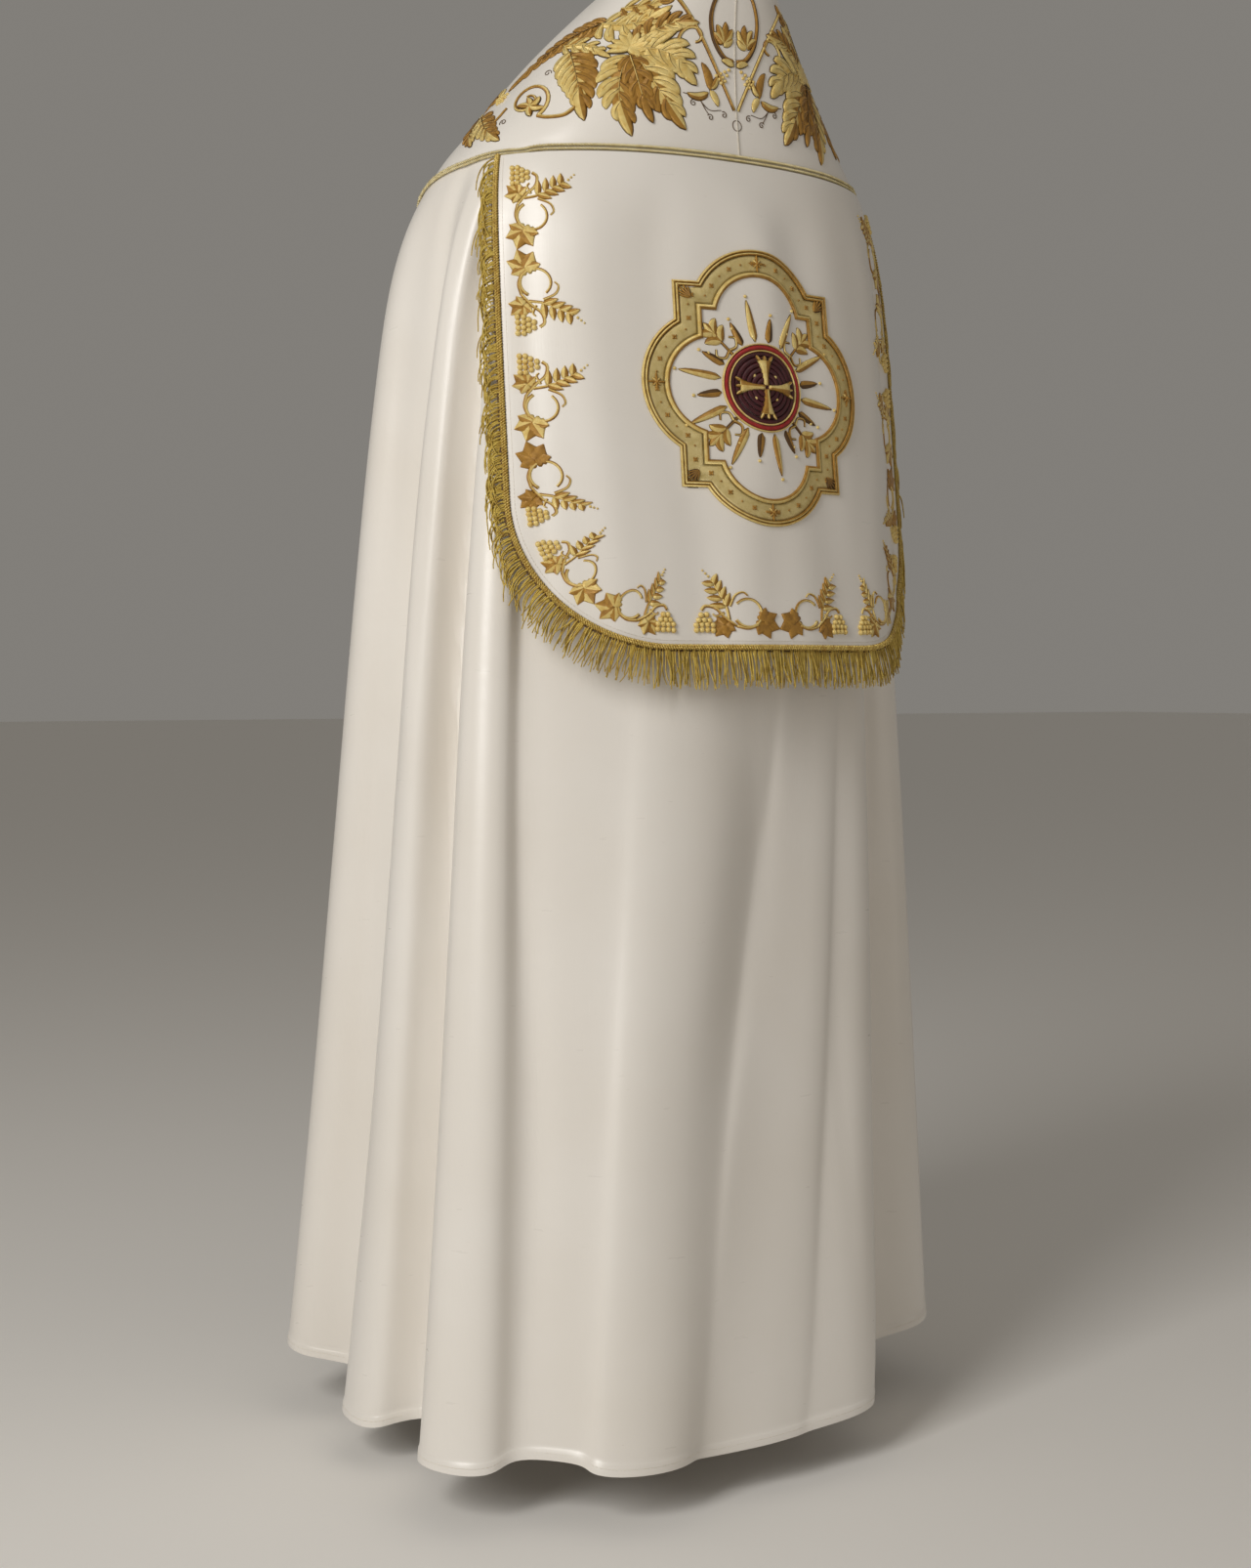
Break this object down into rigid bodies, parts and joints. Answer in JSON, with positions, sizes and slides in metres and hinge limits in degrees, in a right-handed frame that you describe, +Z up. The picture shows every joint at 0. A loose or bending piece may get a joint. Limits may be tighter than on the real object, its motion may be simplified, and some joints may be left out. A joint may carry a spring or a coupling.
{
  "type": "cope",
  "caption": "Floor-length open ceremonial cloak with broad orphrey bands, a fringed shield-shaped hood panel on the back and a breast tab, hollow as worn.",
  "frame": {"origin": "on the neck's axis, level with the neckline at the back, where the wearer's neck and shoulders hold it", "axes": "+Z up, -Y the way the wearer faces, +X the wearer's left"},
  "size_m": [0.6301, 0.6024, 1.3762],
  "materials": {
    "satin": "satin",
    "pale_cord": "satin",
    "gold_thread": "satin"
  },
  "bodies": {
    "root": {"mantle": "satin", "orphrey_left": "satin", "orphrey_right": "satin", "shield": "satin", "morse": "satin", "piping": "pale_cord", "fringe": "gold_thread", "medallion_frame": "gold_thread"}
  },
  "joints": []
}
